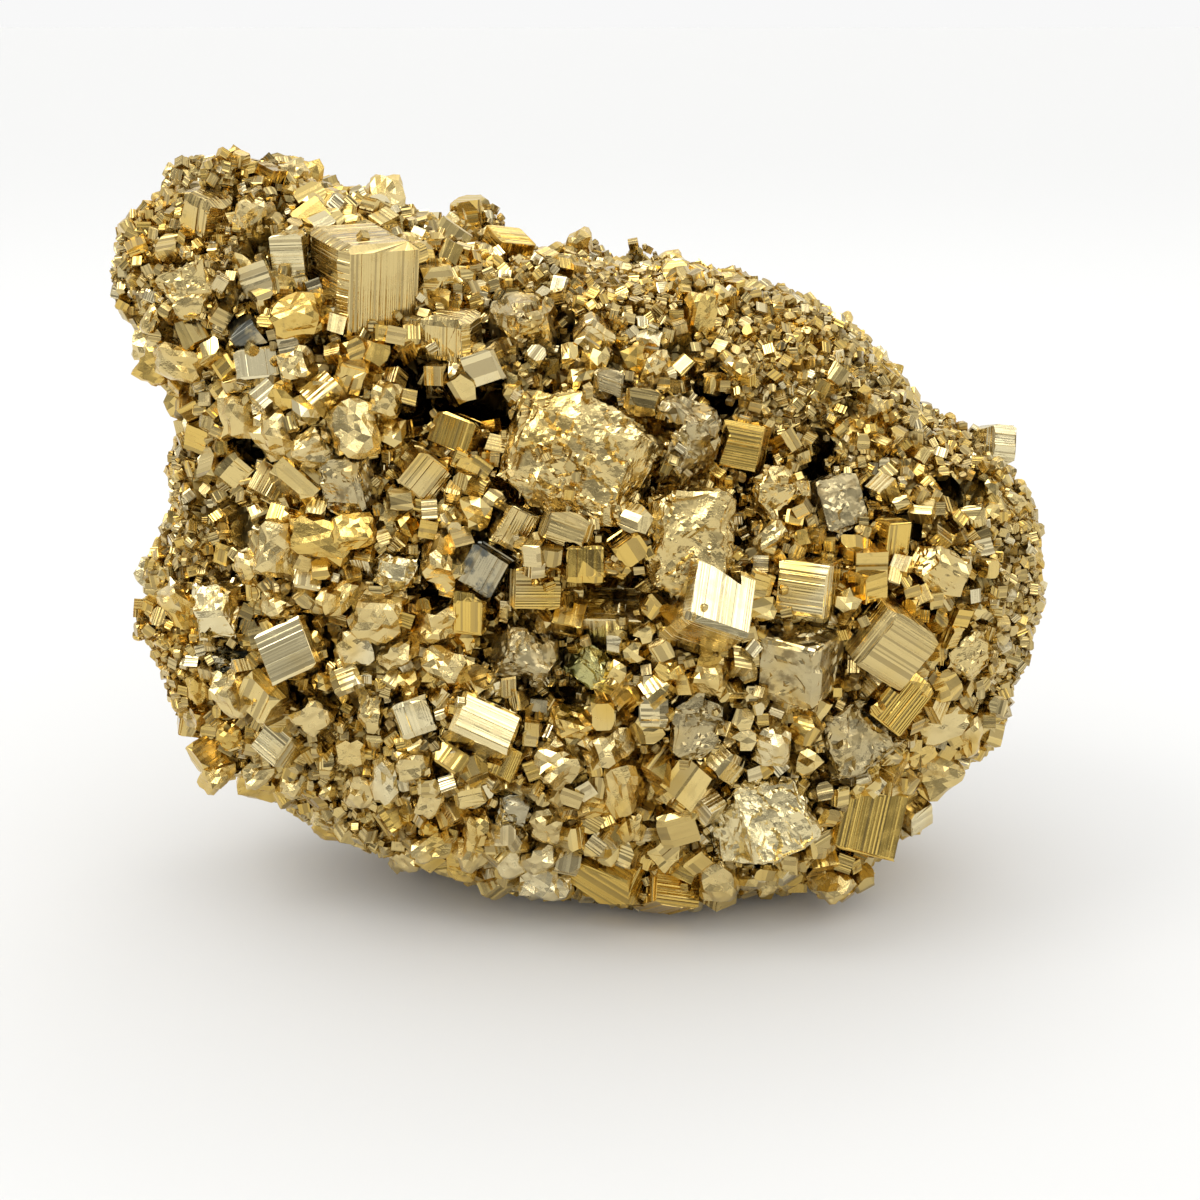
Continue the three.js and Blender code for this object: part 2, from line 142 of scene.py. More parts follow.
def make_world():
    """Even light for the floor, while the metal mirrors a bright ceiling and a darker room in front."""
    world = bpy.data.worlds.new("studio")
    bpy.context.scene.world = world
    world.use_nodes = True
    tree = world.node_tree
    tree.nodes.clear()

    def glow(strength):
        return node(tree, "ShaderNodeBackground", {"Color": (1, 1, 1, 1), "Strength": strength}).outputs[0]

    def choose(share, a, b):
        return node(tree, "ShaderNodeMixShader", {0: share, 1: a, 2: b}).outputs[0]

    way = node(tree, "ShaderNodeTexCoord").outputs["Generated"]
    split = node(tree, "ShaderNodeSeparateXYZ", {0: way}).outputs
    tilt = math_value(tree, "MULTIPLY_ADD", split["Y"], WORLD_LEAN, split["Z"])
    low, high = WORLD_RISE
    span = {"Value": tilt, "From Min": low, "From Max": high, "To Min": WORLD_FRONT, "To Max": WORLD_TOP}
    mirrored = node(tree, "ShaderNodeMapRange", span).outputs["Result"]
    for direction, edge, strength in WINDOWS:
        towards = tuple(Vector(direction).normalized())
        near = node(tree, "ShaderNodeVectorMath", {0: way, 1: towards}, operation="DOT_PRODUCT")
        window = step(tree, near.outputs["Value"], *edge)
        mirrored = math_value(tree, "MULTIPLY_ADD", window, strength, mirrored)
    path = node(tree, "ShaderNodeLightPath").outputs
    lighting = choose(path["Is Glossy Ray"], glow(WORLD_LIGHT), glow(mirrored))
    seen = choose(path["Is Camera Ray"], lighting, glow(WORLD_SEEN))
    node(tree, "ShaderNodeOutputWorld", {"Surface": seen})


def make_floor():
    half = FLOOR_SIZE / 2
    mesh = bpy.data.meshes.new("floor")
    corners = [(-half, -half, 0), (half, -half, 0), (half, half, 0), (-half, half, 0)]
    mesh.from_pydata(corners, [], [(0, 1, 2, 3)])
    floor = bpy.data.objects.new("floor", mesh)
    bpy.context.scene.collection.objects.link(floor)
    paint = bpy.data.materials.new("floor_paint")
    paint.use_nodes = True
    shader = paint.node_tree.nodes["Principled BSDF"]
    shader.inputs["Base Color"].default_value = (0.8, 0.8, 0.79, 1)
    shader.inputs["Roughness"].default_value = 0.7
    shader.inputs["Specular IOR Level"].default_value = 0.2
    mesh.materials.append(paint)


make_camera()
make_world()
make_floor()
softbox("key", (-0.40, -0.14, 0.62), (0.28, 0.28), 0.7)
softbox("back_top", (0.10, 0.45, 0.60), (0.35, 0.22), 0.4)
softbox("right_fill", (0.55, -0.30, 0.30), (0.16, 0.26), 0.15)
bpy.context.scene.view_settings.view_transform = "Standard"


# ---- Shader node groups ----
def new_group(name, inputs, outputs):
    """A shader node group with named sockets, as (group, its inputs node, its outputs node)."""
    group = bpy.data.node_groups.new(name, "ShaderNodeTree")
    for socket, kind, value in inputs:
        made = group.interface.new_socket(name=socket, in_out="INPUT", socket_type=kind)
        made.default_value = value
    for socket, kind in outputs:
        group.interface.new_socket(name=socket, in_out="OUTPUT", socket_type=kind)
    return group, group.nodes.new("NodeGroupInput"), group.nodes.new("NodeGroupOutput")


def blend_colour(tree, share, a, b):
    made = node(tree, "ShaderNodeMix", data_type="RGBA")
    for name, value in (("Factor_Float", share), ("A_Color", a), ("B_Color", b)):
        target = next(s for s in made.inputs if s.identifier == name)
        if isinstance(value, bpy.types.NodeSocket):
            tree.links.new(value, target)
        else:
            target.default_value = value
    return next(s for s in made.outputs if s.identifier == "Result_Color")


# A crystal's tone, from 0 to 1, makes it warmer at the low end and paler at the high end.
WARM_TONES = (0.45, 0.05)
WARM_SHARE = 0.85
PALE_TONES = (0.72, 1.0)
PALE_SHARE = 0.8
BROAD_SCALE = 90.0  # of the noise that warms whole regions
BROAD_EDGE = (0.5, 0.75)
TARNISH_SCALE = 260.0
TARNISH_LIMIT = 0.78  # noise above this, less a part of the metal's share of tarnish, is tarnish
TARNISH_REACH = 0.5
TARNISH_EDGE = (-0.04, 0.07)
TARNISH_STRENGTH = 0.8


def colour_group():
    """The metal's colour: its own tint, a warmer or paler one crystal by crystal, and patches of tarnish,
    which on the blue-grey and olive metals are painted reflection.
    """
    group, given, out = new_group(
        "pyrite_colour",
        [
            ("Tint", "NodeSocketColor", (0.66, 0.52, 0.23, 1)),
            ("Warm", "NodeSocketColor", (0.68, 0.46, 0.11, 1)),
            ("Pale", "NodeSocketColor", (0.78, 0.69, 0.44, 1)),
            ("Tarnish", "NodeSocketColor", (0.22, 0.16, 0.07, 1)),
            ("Tarnish Share", "NodeSocketFloat", 0.25),
        ],
        [("Colour", "NodeSocketColor"), ("Tarnished", "NodeSocketFloat")],
    )
    where = node(group, "ShaderNodeTexCoord").outputs["Object"]
    tone = node(group, "ShaderNodeAttribute", attribute_name="tone").outputs["Fac"]
    warmth = step(group, tone, *WARM_TONES)
    paleness = step(group, tone, *PALE_TONES)
    warm_share = math_value(group, "MULTIPLY", warmth, WARM_SHARE)
    colour = blend_colour(group, warm_share, given.outputs["Tint"], given.outputs["Warm"])
    pale_share = math_value(group, "MULTIPLY", paleness, PALE_SHARE)
    colour = blend_colour(group, pale_share, colour, given.outputs["Pale"])
    broad = noise_value(group, where, BROAD_SCALE)
    colour = blend_colour(group, step(group, broad, *BROAD_EDGE), colour, given.outputs["Warm"])
    patches = noise_value(group, where, TARNISH_SCALE, detail=4.0, roughness=0.6)
    reach = math_value(group, "MULTIPLY", given.outputs["Tarnish Share"], TARNISH_REACH)
    limit = math_value(group, "SUBTRACT", TARNISH_LIMIT, reach)
    above = math_value(group, "SUBTRACT", patches, limit)
    stain_and_reflection = step(group, above, *TARNISH_EDGE)
    patch_share = math_value(group, "MULTIPLY", stain_and_reflection, TARNISH_STRENGTH)
    colour = blend_colour(group, patch_share, colour, given.outputs["Tarnish"])
    group.links.new(colour, out.inputs["Colour"])
    group.links.new(stain_and_reflection, out.inputs["Tarnished"])
    return group


DARK_SLOPES = (0.34, 0.12)  # a growth line whose random slope is this low gets painted shade
DULL_SCALE = 420.0  # of the noise that dulls the metal in patches
DULL_EDGE = (0.45, 0.7)


def relief_group():
    """Fine growth lines across each face, from its stria coordinate, small etch pits, and painted shade on
    some of the lines.
    """
    group, given, out = new_group(
        "pyrite_relief",
        [
            ("Lines", "NodeSocketFloat", 1.0),
            ("Pits", "NodeSocketFloat", 0.5),
            ("Line Scale", "NodeSocketFloat", 5.0),
            ("Pit Scale", "NodeSocketFloat", 1400.0),
        ],
        [("Height", "NodeSocketFloat"), ("Dullness", "NodeSocketFloat"), ("Painted Shade Bands", "NodeSocketFloat")],
    )
    where = node(group, "ShaderNodeTexCoord").outputs["Object"]
    across = node(group, "ShaderNodeAttribute", attribute_name="stria").outputs["Fac"]
    along = {"W": across, "Scale": given.outputs["Line Scale"]}
    band = node(group, "ShaderNodeTexVoronoi", along, voronoi_dimensions="1D")
    slope = node(group, "ShaderNodeSeparateColor", {0: band.outputs["Color"]}).outputs[0]
    bands = math_value(group, "MULTIPLY", band.outputs["Distance"], slope)
    lines = math_value(group, "MULTIPLY", bands, given.outputs["Lines"])
    pits = noise_value(group, where, given.outputs["Pit Scale"], detail=4.0, roughness=0.65)
    pitted = math_value(group, "MULTIPLY", pits, given.outputs["Pits"])
    group.links.new(math_value(group, "ADD", lines, pitted), out.inputs["Height"])
    # Painted shade: the growth lines whose strips slope least are darkened, in place of the darker
    # reflection that tilted strips give.
    dark = math_value(group, "MULTIPLY", step(group, slope, *DARK_SLOPES), given.outputs["Lines"])
    group.links.new(math_value(group, "MINIMUM", dark, 1.0), out.inputs["Painted Shade Bands"])
    dullness = step(group, noise_value(group, where, DULL_SCALE), *DULL_EDGE)
    group.links.new(dullness, out.inputs["Dullness"])
    return group


COLOURS = colour_group()
RELIEF = relief_group()
# The brown of tarnish, which is also the colour of the painted shade on growth lines.
BROWN_TARNISH_AND_BAND_SHADE = (0.22, 0.16, 0.07)
# painted shade: the near black given to the clefts and pits of the mass, where walls close in round them
PAINTED_CLEFT_SHADE = (0.02, 0.014, 0.006)
BAND_SHADE = 0.55  # painted shade: how far a shaded growth line goes towards the brown, in place of the darker reflection that some tilted strips give
RELIEF_DEPTH = 0.07 * MM
RELIEF_STRENGTH = 0.8


def pyrite(
    name, tint, tarnish=0.2, lines=1.0, line_scale=3.4, pits=0.3,
    smooth=0.14, dull=0.32, stain_and_reflection=BROWN_TARNISH_AND_BAND_SHADE,
):
    """Pyrite metal. smooth and dull are the roughness of its cleanest and its dullest patches. The colour of
    its patches is tarnish, and painted reflection on the blue-grey and olive metals.
    """
    material = bpy.data.materials.new(name)
    material.use_nodes = True
    tree = material.node_tree
    shader = tree.nodes["Principled BSDF"]
    shader.inputs["Metallic"].default_value = 1.0
    colour = node(tree, "ShaderNodeGroup", node_tree=COLOURS)
    colour.inputs["Tint"].default_value = (*tint, 1)
    colour.inputs["Tarnish"].default_value = (*stain_and_reflection, 1)
    colour.inputs["Tarnish Share"].default_value = tarnish
    relief = node(tree, "ShaderNodeGroup", node_tree=RELIEF)
    relief.inputs["Lines"].default_value = lines
    relief.inputs["Pits"].default_value = pits
    relief.inputs["Line Scale"].default_value = line_scale
    # deep is painted shade: 1 deep in clefts and pits, where the colour turns near black
    deep = node(tree, "ShaderNodeAttribute", attribute_name="deep").outputs["Fac"]
    painted_band_shade = math_value(tree, "MULTIPLY", relief.outputs["Painted Shade Bands"], BAND_SHADE)
    base = blend_colour(tree, painted_band_shade, colour.outputs["Colour"], (*BROWN_TARNISH_AND_BAND_SHADE, 1))
    base = blend_colour(tree, deep, base, (*PAINTED_CLEFT_SHADE, 1))
    tree.links.new(base, shader.inputs["Base Color"])
    worn = math_value(tree, "MAXIMUM", relief.outputs["Dullness"], colour.outputs["Tarnished"])
    rough = node(tree, "ShaderNodeMapRange", {"Value": worn, "To Min": smooth, "To Max": dull})
    tree.links.new(rough.outputs["Result"], shader.inputs["Roughness"])
    height = {"Height": relief.outputs["Height"], "Strength": RELIEF_STRENGTH, "Distance": RELIEF_DEPTH}
    bump = node(tree, "ShaderNodeBump", height)
    tree.links.new(bump.outputs["Normal"], shader.inputs["Normal"])
    return material


# slot: tint, share of tarnish, roughness where clean and where dull
SLOT_METALS = {
    "pyrite_brass": ((0.66, 0.51, 0.22), 0.2, 0.14, 0.32),
    "pyrite_pale": ((0.78, 0.65, 0.34), 0.05, 0.13, 0.3),
    "pyrite_golden": ((0.72, 0.50, 0.13), 0.1, 0.14, 0.3),
    "pyrite_tarnished": ((0.50, 0.41, 0.22), 0.35, 0.2, 0.4),
}


def slot_metals(ending, lines, pits):
    """One metal for each slot, with growth lines or with a crumpled surface."""
    return {
        slot: pyrite(slot + ending, tint, tarnish, lines=lines, pits=pits, smooth=smooth, dull=dull)
        for slot, (tint, tarnish, smooth, dull) in SLOT_METALS.items()
    }


LINED_METALS = slot_metals("", lines=1.0, pits=0.3)
CRUMPLED_METALS = slot_metals("_crumpled", lines=0.0, pits=1.5)
SMOOTH_METALS = slot_metals("_smooth", lines=0.25, pits=0.15)
# Painted reflection: greyer metals whose patches carry the dark blue-grey and olive tones that these
# crystals' faces mirror.
BLUE_GREY_PAINTED_REFLECTION = pyrite("pyrite_blue_grey_reflection", (0.46, 0.40, 0.25), 0.58, lines=0.8, stain_and_reflection=(0.06, 0.08, 0.09))
OLIVE_PAINTED_REFLECTION = pyrite(
    "pyrite_olive_reflection", (0.50, 0.46, 0.19), 0.5, lines=0.0, pits=1.5, stain_and_reflection=(0.19, 0.19, 0.07)
)
PAINTED_REFLECTION_METALS = {
    "slate_cube": BLUE_GREY_PAINTED_REFLECTION,
    "dark_faced_cube": BLUE_GREY_PAINTED_REFLECTION,
    "blue_faced_cube": BLUE_GREY_PAINTED_REFLECTION,
    "blue_black_slab": BLUE_GREY_PAINTED_REFLECTION,
    "green_lump": OLIVE_PAINTED_REFLECTION,
}
DRUSE_METAL = pyrite("pyrite_druse", (0.70, 0.54, 0.22), tarnish=0.15, lines=1.3, line_scale=6.0)
LUMP_METAL = pyrite("pyrite_lump", (0.70, 0.55, 0.25), 0.22, lines=0.0, pits=1.5, smooth=0.16, dull=0.34)
SMALL_METAL = pyrite("pyrite_small", (0.58, 0.44, 0.18), 0.25, lines=1.2, line_scale=6.0, dull=0.36)
# Painted shade: the finest crystals get a darker, browner metal, in place of the shadow among the fine
# grains.
FINE_SHADED_METAL = pyrite("pyrite_fine_shaded", (0.43, 0.32, 0.13), 0.4, 1.2, line_scale=6.0, smooth=0.2, dull=0.42)
# Painted shade: the mass between the crystals gets a darker metal than the crystals on it.
SHADED_MASS_METAL = pyrite("pyrite_mass_shaded", (0.60, 0.46, 0.18), 0.3, lines=0.0, pits=1.4, smooth=0.2, dull=0.42)


# ---- Crystal faces ----
# Faces lie in one plane if the cosine between them is over SAME_WAY and their planes are this close.
SAME_WAY = 0.9995
SAME_REACH = 0.03 * MM


def plane_regions(bm):
    """Marks each face with the number of its plane, and returns the planes, largest first."""
    layer = bm.faces.layers.int.new("plane")
    bm.normal_update()
    planes = []
    for face in bm.faces:
        reach = face.normal.dot(face.calc_center_median())
        for plane in planes:
            same_way = plane["normal"].dot(face.normal) > SAME_WAY
            if same_way and abs(plane["reach"] - reach) < SAME_REACH:
                break
        else:
            plane = {"normal": face.normal.copy(), "reach": reach, "area": 0.0, "faces": []}
            planes.append(plane)
        plane["area"] += face.calc_area()
        plane["faces"].append(face)
    planes.sort(key=lambda plane: -plane["area"])
    for number, plane in enumerate(planes):
        for face in plane["faces"]:
            face[layer] = number
        del plane["faces"]
    return planes, layer


SQUARE_ON = 0.1  # a cosine below this is taken as a right angle


def growth_axes(planes):
    """Three square axes of the crystal, from its largest faces."""
    first = planes[0]["normal"]
    square = [plane["normal"] for plane in planes if abs(plane["normal"].dot(first)) < SQUARE_ON]
    second = square[0] if square else first.orthogonal()
    second = (second - first * second.dot(first)).normalized()
    return [first, second, first.cross(second)]


TERRACE = 2.4  # how many times deeper a terrace is than a growth line
TERRACE_CHANCE = 0.12
RISER_CHANCE = 0.7
# The widths of treads and risers as shares of the line width, and the most that a tread slopes.
TREAD_SPAN = (0.35, 1.6)
RISER_SPAN = (0.08, 0.2)
TREAD_SLOPE = 0.05
WIDTH_SPAN = (0.7, 1.4)  # how much the line width changes from face to face
STRIA_GAP = 20  # keeps the stria coordinates of two planes apart


def growth_profile(length, rng, width, step_height):
    """Knots of a stepped section across the growth lines: treads and short steep risers, all inwards."""
    places, heights = [0.0], [-rng.uniform(0, step_height)]
    while places[-1] < length:
        tread = rng.uniform(*TREAD_SPAN) * width
        places.append(places[-1] + tread)
        heights.append(heights[-1] + rng.uniform(-TREAD_SLOPE, TREAD_SLOPE) * tread)
        if rng.random() < RISER_CHANCE:
            riser = rng.uniform(*RISER_SPAN) * width
            deep = TERRACE if rng.random() < TERRACE_CHANCE else 1
            places.append(places[-1] + riser)
            heights.append(-rng.uniform(0, step_height) * deep)
    return places, heights


def striate(bm, rng, width, step_height, least_share=0.12, turned=False):
    """Cuts growth lines into each large face, square to each other on neighbours, as pyrite has them."""
    stria = bm.loops.layers.float.new("stria")
    planes, layer = plane_regions(bm)
    axes = growth_axes(planes)
    worked = []
    for number, plane in enumerate(planes):
        if plane["area"] < least_share * planes[0]["area"]:
            break
        along_normal = max(range(3), key=lambda i: abs(axes[i].dot(plane["normal"])))
        lines = axes[(along_normal + (2 if turned else 1)) % 3]
        across = plane["normal"].cross(lines).normalized()
        faces = [face for face in bm.faces if face[layer] == number]
        spread = [across.dot(vert.co) for face in faces for vert in face.verts]
        low, length = min(spread), max(spread) - min(spread)
        places, heights = growth_profile(length, rng, width * rng.uniform(*WIDTH_SPAN), step_height)
        for place in places[1:]:
            if place >= length:
                break
            faces = [face for face in bm.faces if face[layer] == number]
            edges = {edge for face in faces for edge in face.edges}
            verts = {vert for face in faces for vert in face.verts}
            point = across * (low + place)
            cut = [*verts, *edges, *faces]
            bmesh.ops.bisect_plane(bm, geom=cut, dist=MERGE, plane_co=point, plane_no=across)
        worked.append((number, plane["normal"], across, low, places, heights))
    moves = {}
    for number, normal, across, low, places, heights in worked:
        for face in bm.faces:
            if face[layer] != number:
                continue
            for loop in face.loops:
                place = across.dot(loop.vert.co) - low
                loop[stria] = place / MM + STRIA_GAP * number
                moves.setdefault(loop.vert, {})[number] = normal * float(np.interp(place, places, heights))
    for vert, pushes in moves.items():
        for push in pushes.values():
            vert.co += push
    bmesh.ops.triangulate(bm, faces=bm.faces[:])


SPLIT_ROUNDS = 8
LONG_EDGE = 1.5  # an edge this many times longer than wanted is split


def roughen(bm, rng, edge, layers):
    """Splits a closed mesh finely and breaks its faces into small tilted facets, layer by layer."""
    bmesh.ops.triangulate(bm, faces=bm.faces[:])
    for _ in range(SPLIT_ROUNDS):
        long = [e for e in bm.edges if e.calc_length() > edge * LONG_EDGE]
        if not long:
            break
        bmesh.ops.subdivide_edges(bm, edges=long, cuts=1, use_grid_fill=False)
        bmesh.ops.triangulate(bm, faces=[f for f in bm.faces if len(f.verts) > 3])
    bm.normal_update()
    bm.verts.ensure_lookup_table()
    points = np.array([vert.co[:] for vert in bm.verts])
    normals = np.array([vert.normal[:] for vert in bm.verts])
    points += normals * facet_heights(points, rng, layers)[:, None]
    for vert, point in zip(bm.verts, points):
        vert.co = point


FACET_CHOICES = 7  # how many of the nearest facets can shape a point
FACET_CURVE = 0.4  # how much each facet rises away from its middle


def facet_heights(points, rng, layers):
    """How far each point moves inwards: facets, each with a tilt of its own, that meet in sharp creases."""
    low, high = points.min(0), points.max(0)
    total = np.zeros(len(points))
    for cell, tilt, depth in layers:
        count = max(FACET_CHOICES, int(np.prod((high - low) / cell + 1)))
        seeds = np.array([[rng.uniform(a, b) for a, b in zip(low, high)] for _ in range(count)])
        tilts = np.array([[rng.uniform(-tilt, tilt) for _ in range(3)] for _ in range(count)])
        tree = KDTree(count)
        for index, seed in enumerate(seeds):
            tree.insert(seed, index)
        tree.balance()
        near = np.array([[found[1] for found in tree.find_n(point, FACET_CHOICES)] for point in points])
        away = points[:, None] - seeds[near]
        heights = (away * tilts[near]).sum(2) + FACET_CURVE * tilt / cell * (away**2).sum(2)
        total += np.clip(heights.min(1), -depth, 0)
    return total


def finish_piece(name, mesh, material, tone=None):
    """Puts a finished mesh into the scene as a piece that rides on the body."""
    mesh.name = name
    mesh.materials.clear()
    mesh.materials.append(material)
    mesh.shade_flat()
    if tone is not None:
        attribute = mesh.attributes.new("tone", "FLOAT", "FACE")
        attribute.data.foreach_set("value", [tone] * len(mesh.polygons))
    piece = bpy.data.objects.new(name, mesh)
    bpy.context.scene.collection.objects.link(piece)
    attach(piece, "root")
    return piece


def merged_copy(node_name):
    bm = bmesh.new()
    bm.from_mesh(NODES[node_name].data)
    bmesh.ops.remove_doubles(bm, verts=bm.verts, dist=MERGE)
    bmesh.ops.dissolve_degenerate(bm, edges=bm.edges, dist=MERGE)
    return bm


def to_mesh(bm, name):
    mesh = bpy.data.meshes.new(name)
    bm.to_mesh(mesh)
    bm.free()
    return mesh


# ---- The large crystals, each in place of its own CAD node ----
ROUGH_EDGE = 0.42 * MM
# Layers of facets, coarse to fine: cell, tilt and depth.
ROUGH_LAYERS = [(4.2 * MM, 0.36, 1.1 * MM), (1.7 * MM, 0.26, 0.35 * MM)]
PART_ROUGH_LAYERS = [(3.4 * MM, 0.16, 0.4 * MM), (1.5 * MM, 0.2, 0.2 * MM)]
FULLY_ROUGH = {
    "giant_rough_cube", "etched_plate", "silver_lump", "cleft_lump", "green_lump", "upper_rough_lump",
    "arm_plate_lump", "left_pale_lump", "white_chip_lump", "rough_column", "right_shoulder_lump",
    "right_edge_lump", "base_boulder", "lower_right_lump", "hanging_lump", "blue_black_slab",
}
PARTLY_ROUGH = {"grey_rough_cube", "capped_lump", "left_middle_block", "pyramid_crystal", "blue_faced_cube"}
# Crystals whose growth lines run the other way on each face.
LINES_TURNED = {"upper_left_cube", "striated_gold_cube", "striated_pale_cube", "pocket_cube"}
# Crystals whose faces are nearly plain and flash like mirrors.
SMOOTH_FACED = {"bright_square_cube", "white_faced_corner", "bright_prism", "pale_tile_cube", "slanted_cube"}
LINE_WIDTH = 0.62 * MM
LINE_DEPTH = 0.13 * MM
SMOOTH_LINE_DEPTH = 0.03 * MM
TONE_OF_SLOT = {"pyrite_brass": 0.5, "pyrite_pale": 0.85, "pyrite_golden": 0.25, "pyrite_tarnished": 0.6}
TONE_SPREAD = 0.1


def large_crystal(name, seed):
    rng = random.Random(seed)
    bm = merged_copy(name)
    if name in FULLY_ROUGH:
        roughen(bm, rng, ROUGH_EDGE, ROUGH_LAYERS)
    elif name in PARTLY_ROUGH:
        roughen(bm, rng, ROUGH_EDGE, PART_ROUGH_LAYERS)
    else:
        line_depth = SMOOTH_LINE_DEPTH if name in SMOOTH_FACED else LINE_DEPTH
        striate(bm, rng, width=LINE_WIDTH, step_height=line_depth, turned=name in LINES_TURNED)
    slot = SLOT_OF[name]
    metals = CRUMPLED_METALS if name in FULLY_ROUGH else LINED_METALS
    if name in SMOOTH_FACED:
        metals = SMOOTH_METALS
    tone = TONE_OF_SLOT[slot] + rng.uniform(-TONE_SPREAD, TONE_SPREAD)
    metal = PAINTED_REFLECTION_METALS.get(name, metals[slot])
    piece = finish_piece(name + "_face", to_mesh(bm, name), metal, tone)
    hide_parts(name)


for seed, name in enumerate(sorted(NODES)):
    if name != MASS:
        large_crystal(name, seed)


# ---- Crystals that are repeated over the mass ----
PYRITOHEDRON_FACES = [(2, 1, 0), (2, -1, 0), (0, 2, 1), (0, 2, -1), (1, 0, 2), (-1, 0, 2)]
CORNER_FACES = [(1, 1, 1), (-1, 1, 1), (1, -1, 1), (1, 1, -1)]
CUT_SPAN = (0.92, 1.08)  # how far a cut is moved in or out
CUT_MERGE = 1e-7
SEED_LINE_WIDTH = 0.42
WHOLE_FACE = 9  # wider than any face, so that the face stays plain and only gets its stria coordinate
SEED_LINE_DEPTH = 0.035 * MM
SEED_LEAST_SHARE = 0.3  # smaller faces than this share of the largest get no lines


def seed_crystal(name, seed, stretch, pyritohedron=None, corner=None, lines=False):
    """A crystal 1 mm across: a cube cut by faces of other kinds, at those shares of its half edge."""
    rng = random.Random(seed)
    bm = bmesh.new()
    bmesh.ops.create_cube(bm, size=MM)
    families = [(PYRITOHEDRON_FACES, pyritohedron), (CORNER_FACES, corner)]
    for faces, distance in families:
        if distance is None:
            continue
        for face in faces:
            for sign in (1, -1):
                normal = Vector(face).normalized() * sign
                point = normal * distance * rng.uniform(*CUT_SPAN) * MM / 2
                whole = [*bm.verts, *bm.edges, *bm.faces]
                plane = {"plane_co": point, "plane_no": normal, "clear_outer": True, "dist": CUT_MERGE}
                cut = bmesh.ops.bisect_plane(bm, geom=whole, **plane)
                rim = [item for item in cut["geom_cut"] if isinstance(item, bmesh.types.BMEdge)]
                if rim:
                    bmesh.ops.contextual_create(bm, geom=rim)
    bmesh.ops.transform(bm, matrix=Matrix.Diagonal((*stretch, 1)), verts=bm.verts)
    bmesh.ops.recalc_face_normals(bm, faces=bm.faces[:])
    width = (SEED_LINE_WIDTH if lines else WHOLE_FACE) * MM
    striate(bm, rng, width=width, step_height=SEED_LINE_DEPTH, least_share=SEED_LEAST_SHARE)
    mesh = to_mesh(bm, name)
    mesh.shade_flat()
    return bpy.data.objects.new(name, mesh)


LUMP_SQUARENESS = 5  # 2 is a ball, and more is squarer
LUMP_LAYERS = [(0.55 * MM, 0.6, 0.12 * MM), (0.25 * MM, 0.6, 0.05 * MM)]  # its facets: cell, tilt and depth


def seed_lump(name, seed, stretch, splits):
    """A crumpled block about 1 mm across: a rounded cube broken into small tilted facets."""
    rng = random.Random(seed)
    bm = bmesh.new()
    bmesh.ops.create_icosphere(bm, subdivisions=splits, radius=1.0)
    ways = np.array([vert.co.normalized()[:] for vert in bm.verts])
    squared = (np.abs(ways) ** LUMP_SQUARENESS).sum(1) ** (1 / LUMP_SQUARENESS)
    points = ways / squared[:, None] * MM / 2
    points += ways * facet_heights(points, rng, LUMP_LAYERS)[:, None]
    for vert, point in zip(bm.verts, points * stretch):
        vert.co = point
    mesh = to_mesh(bm, name)
    mesh.shade_flat()
    return bpy.data.objects.new(name, mesh)


def seed_set(name, crystals):
    """A hidden collection of the crystals that one scatter picks from."""
    collection = bpy.data.collections.new(name)
    for crystal in crystals:
        collection.objects.link(crystal)
    return collection


LINED_SEEDS = seed_set("lined_seeds", [
    seed_crystal("seed_cube_lined", 1, (1, 1, 0.95), lines=True),
    seed_crystal("seed_tall_lined", 2, (0.85, 0.9, 1.15), pyritohedron=1.25, lines=True),
    seed_crystal("seed_cut_lined", 3, (1, 0.95, 0.9), pyritohedron=1.18, lines=True),
    seed_crystal("seed_plain_cut", 4, (1.05, 0.9, 0.95), pyritohedron=1.12, corner=1.5),
    seed_crystal("seed_cornered_lined", 5, (1.08, 1.0, 0.85), corner=1.4, lines=True),
    seed_crystal("seed_pyritohedron", 6, (1.1, 1.0, 0.95), pyritohedron=0.98, corner=1.45),
    seed_crystal("seed_short_lined", 7, (0.9, 1.1, 0.75), pyritohedron=1.1, lines=True),
    seed_lump("seed_grain", 8, (1.1, 0.95, 0.9), splits=2),
    seed_lump("seed_long_grain", 9, (0.85, 0.9, 1.2), splits=2),
])
LUMP_SEEDS = seed_set("lump_seeds", [
    seed_lump("seed_lump", 31, (1.0, 0.9, 0.85), splits=3),
    seed_lump("seed_long_lump", 32, (1.2, 0.8, 0.8), splits=3),
    seed_lump("seed_tall_lump", 33, (0.85, 0.8, 1.15), splits=3),
    seed_lump("seed_flat_lump", 34, (1.1, 1.0, 0.65), splits=3),
    seed_lump("seed_square_lump", 35, (0.95, 1.0, 0.95), splits=3),
    seed_lump("seed_wedge_lump", 36, (1.1, 0.7, 0.95), splits=3),
])
PLAIN_SEEDS = seed_set("plain_seeds", [
    seed_crystal("seed_cube", 11, (1, 1, 1)),
    seed_crystal("seed_tall", 12, (0.85, 0.85, 1.1)),
    seed_crystal("seed_cornered", 13, (1, 0.95, 0.95), corner=1.45),
    seed_crystal("seed_cut", 14, (1.05, 1.0, 0.9), pyritohedron=1.2),
    seed_crystal("seed_small_pyritohedron", 15, (1.1, 1.0, 0.95), pyritohedron=1.02),
])


# ---- The scatter: Geometry Nodes that grow one layer of crystals over the mass ----
MOST_DENSE = 4e6  # points per square metre, more than the spacing lets through
FOOTING = 0.9  # a crystal whose middle is lower than this share of its size is left out
SEED_PICKS = 999  # a pick wraps round the number of seeds


